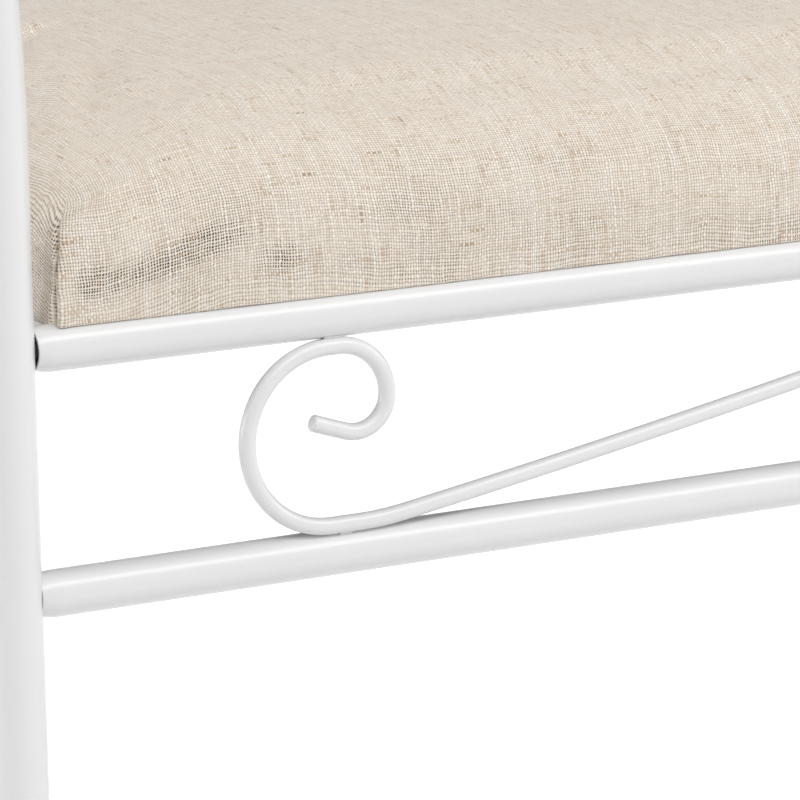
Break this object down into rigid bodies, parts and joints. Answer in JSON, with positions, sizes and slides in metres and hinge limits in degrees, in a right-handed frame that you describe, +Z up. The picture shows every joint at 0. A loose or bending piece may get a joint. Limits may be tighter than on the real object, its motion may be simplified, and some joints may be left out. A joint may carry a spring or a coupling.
{
  "type": "bedroom bench",
  "caption": "White steel-tube bench with rolled arms, scroll wires between its rails, and a linen seat cushion on a board.",
  "frame": {"origin": "on the floor, under the middle of the bench", "axes": "+X along the bench to the right as seen from the front, +Y to the back, +Z up"},
  "size_m": [1.1986, 0.41, 0.6094],
  "materials": {
    "white_coat": "glossy white powder coat",
    "zinc_steel": "zinc plated",
    "white_plastic": "moulded, matt",
    "plywood": "raw birch plywood",
    "foam": "open-cell foam",
    "linen": "plain-woven slubby linen",
    "dust_cloth": "thin non-woven cloth"
  },
  "bodies": {
    "root": {"front_left_leg": "white_coat", "back_left_leg": "white_coat", "front_right_leg": "white_coat", "back_right_leg": "white_coat", "left_arm": "white_coat", "right_arm": "white_coat", "left_arm_rail": "white_coat", "right_arm_rail": "white_coat", "front_top_rail": "white_coat", "back_top_rail": "white_coat", "front_lower_rail": "white_coat", "back_lower_rail": "white_coat", "left_cross_rail": "white_coat", "inner_left_cross_rail": "white_coat", "inner_right_cross_rail": "white_coat", "right_cross_rail": "white_coat", "left_side_rail": "white_coat", "left_lower_side_rail": "white_coat", "right_side_rail": "white_coat", "right_lower_side_rail": "white_coat", "front_left_scroll_wire": "white_coat", "front_right_scroll_wire": "white_coat", "back_left_scroll_wire": "white_coat", "back_right_scroll_wire": "white_coat", "left_scroll_wire": "white_coat", "right_scroll_wire": "white_coat", "left_arm_scroll_front": "white_coat", "left_arm_scroll_back": "white_coat", "right_arm_scroll_front": "white_coat", "right_arm_scroll_back": "white_coat", "rail_nut_plugs": "zinc_steel", "frame_bolts": "zinc_steel", "saddle_washers": "zinc_steel", "seat_screws": "zinc_steel", "front_left_foot": "white_plastic", "front_right_foot": "white_plastic", "back_left_foot": "white_plastic", "back_right_foot": "white_plastic", "front_left_cap": "white_plastic", "front_right_cap": "white_plastic", "back_left_cap": "white_plastic", "back_right_cap": "white_plastic", "seat_board": "plywood", "seat_foam": "foam", "seat_cover": "linen", "dust_cover": "dust_cloth"}
  },
  "joints": []
}
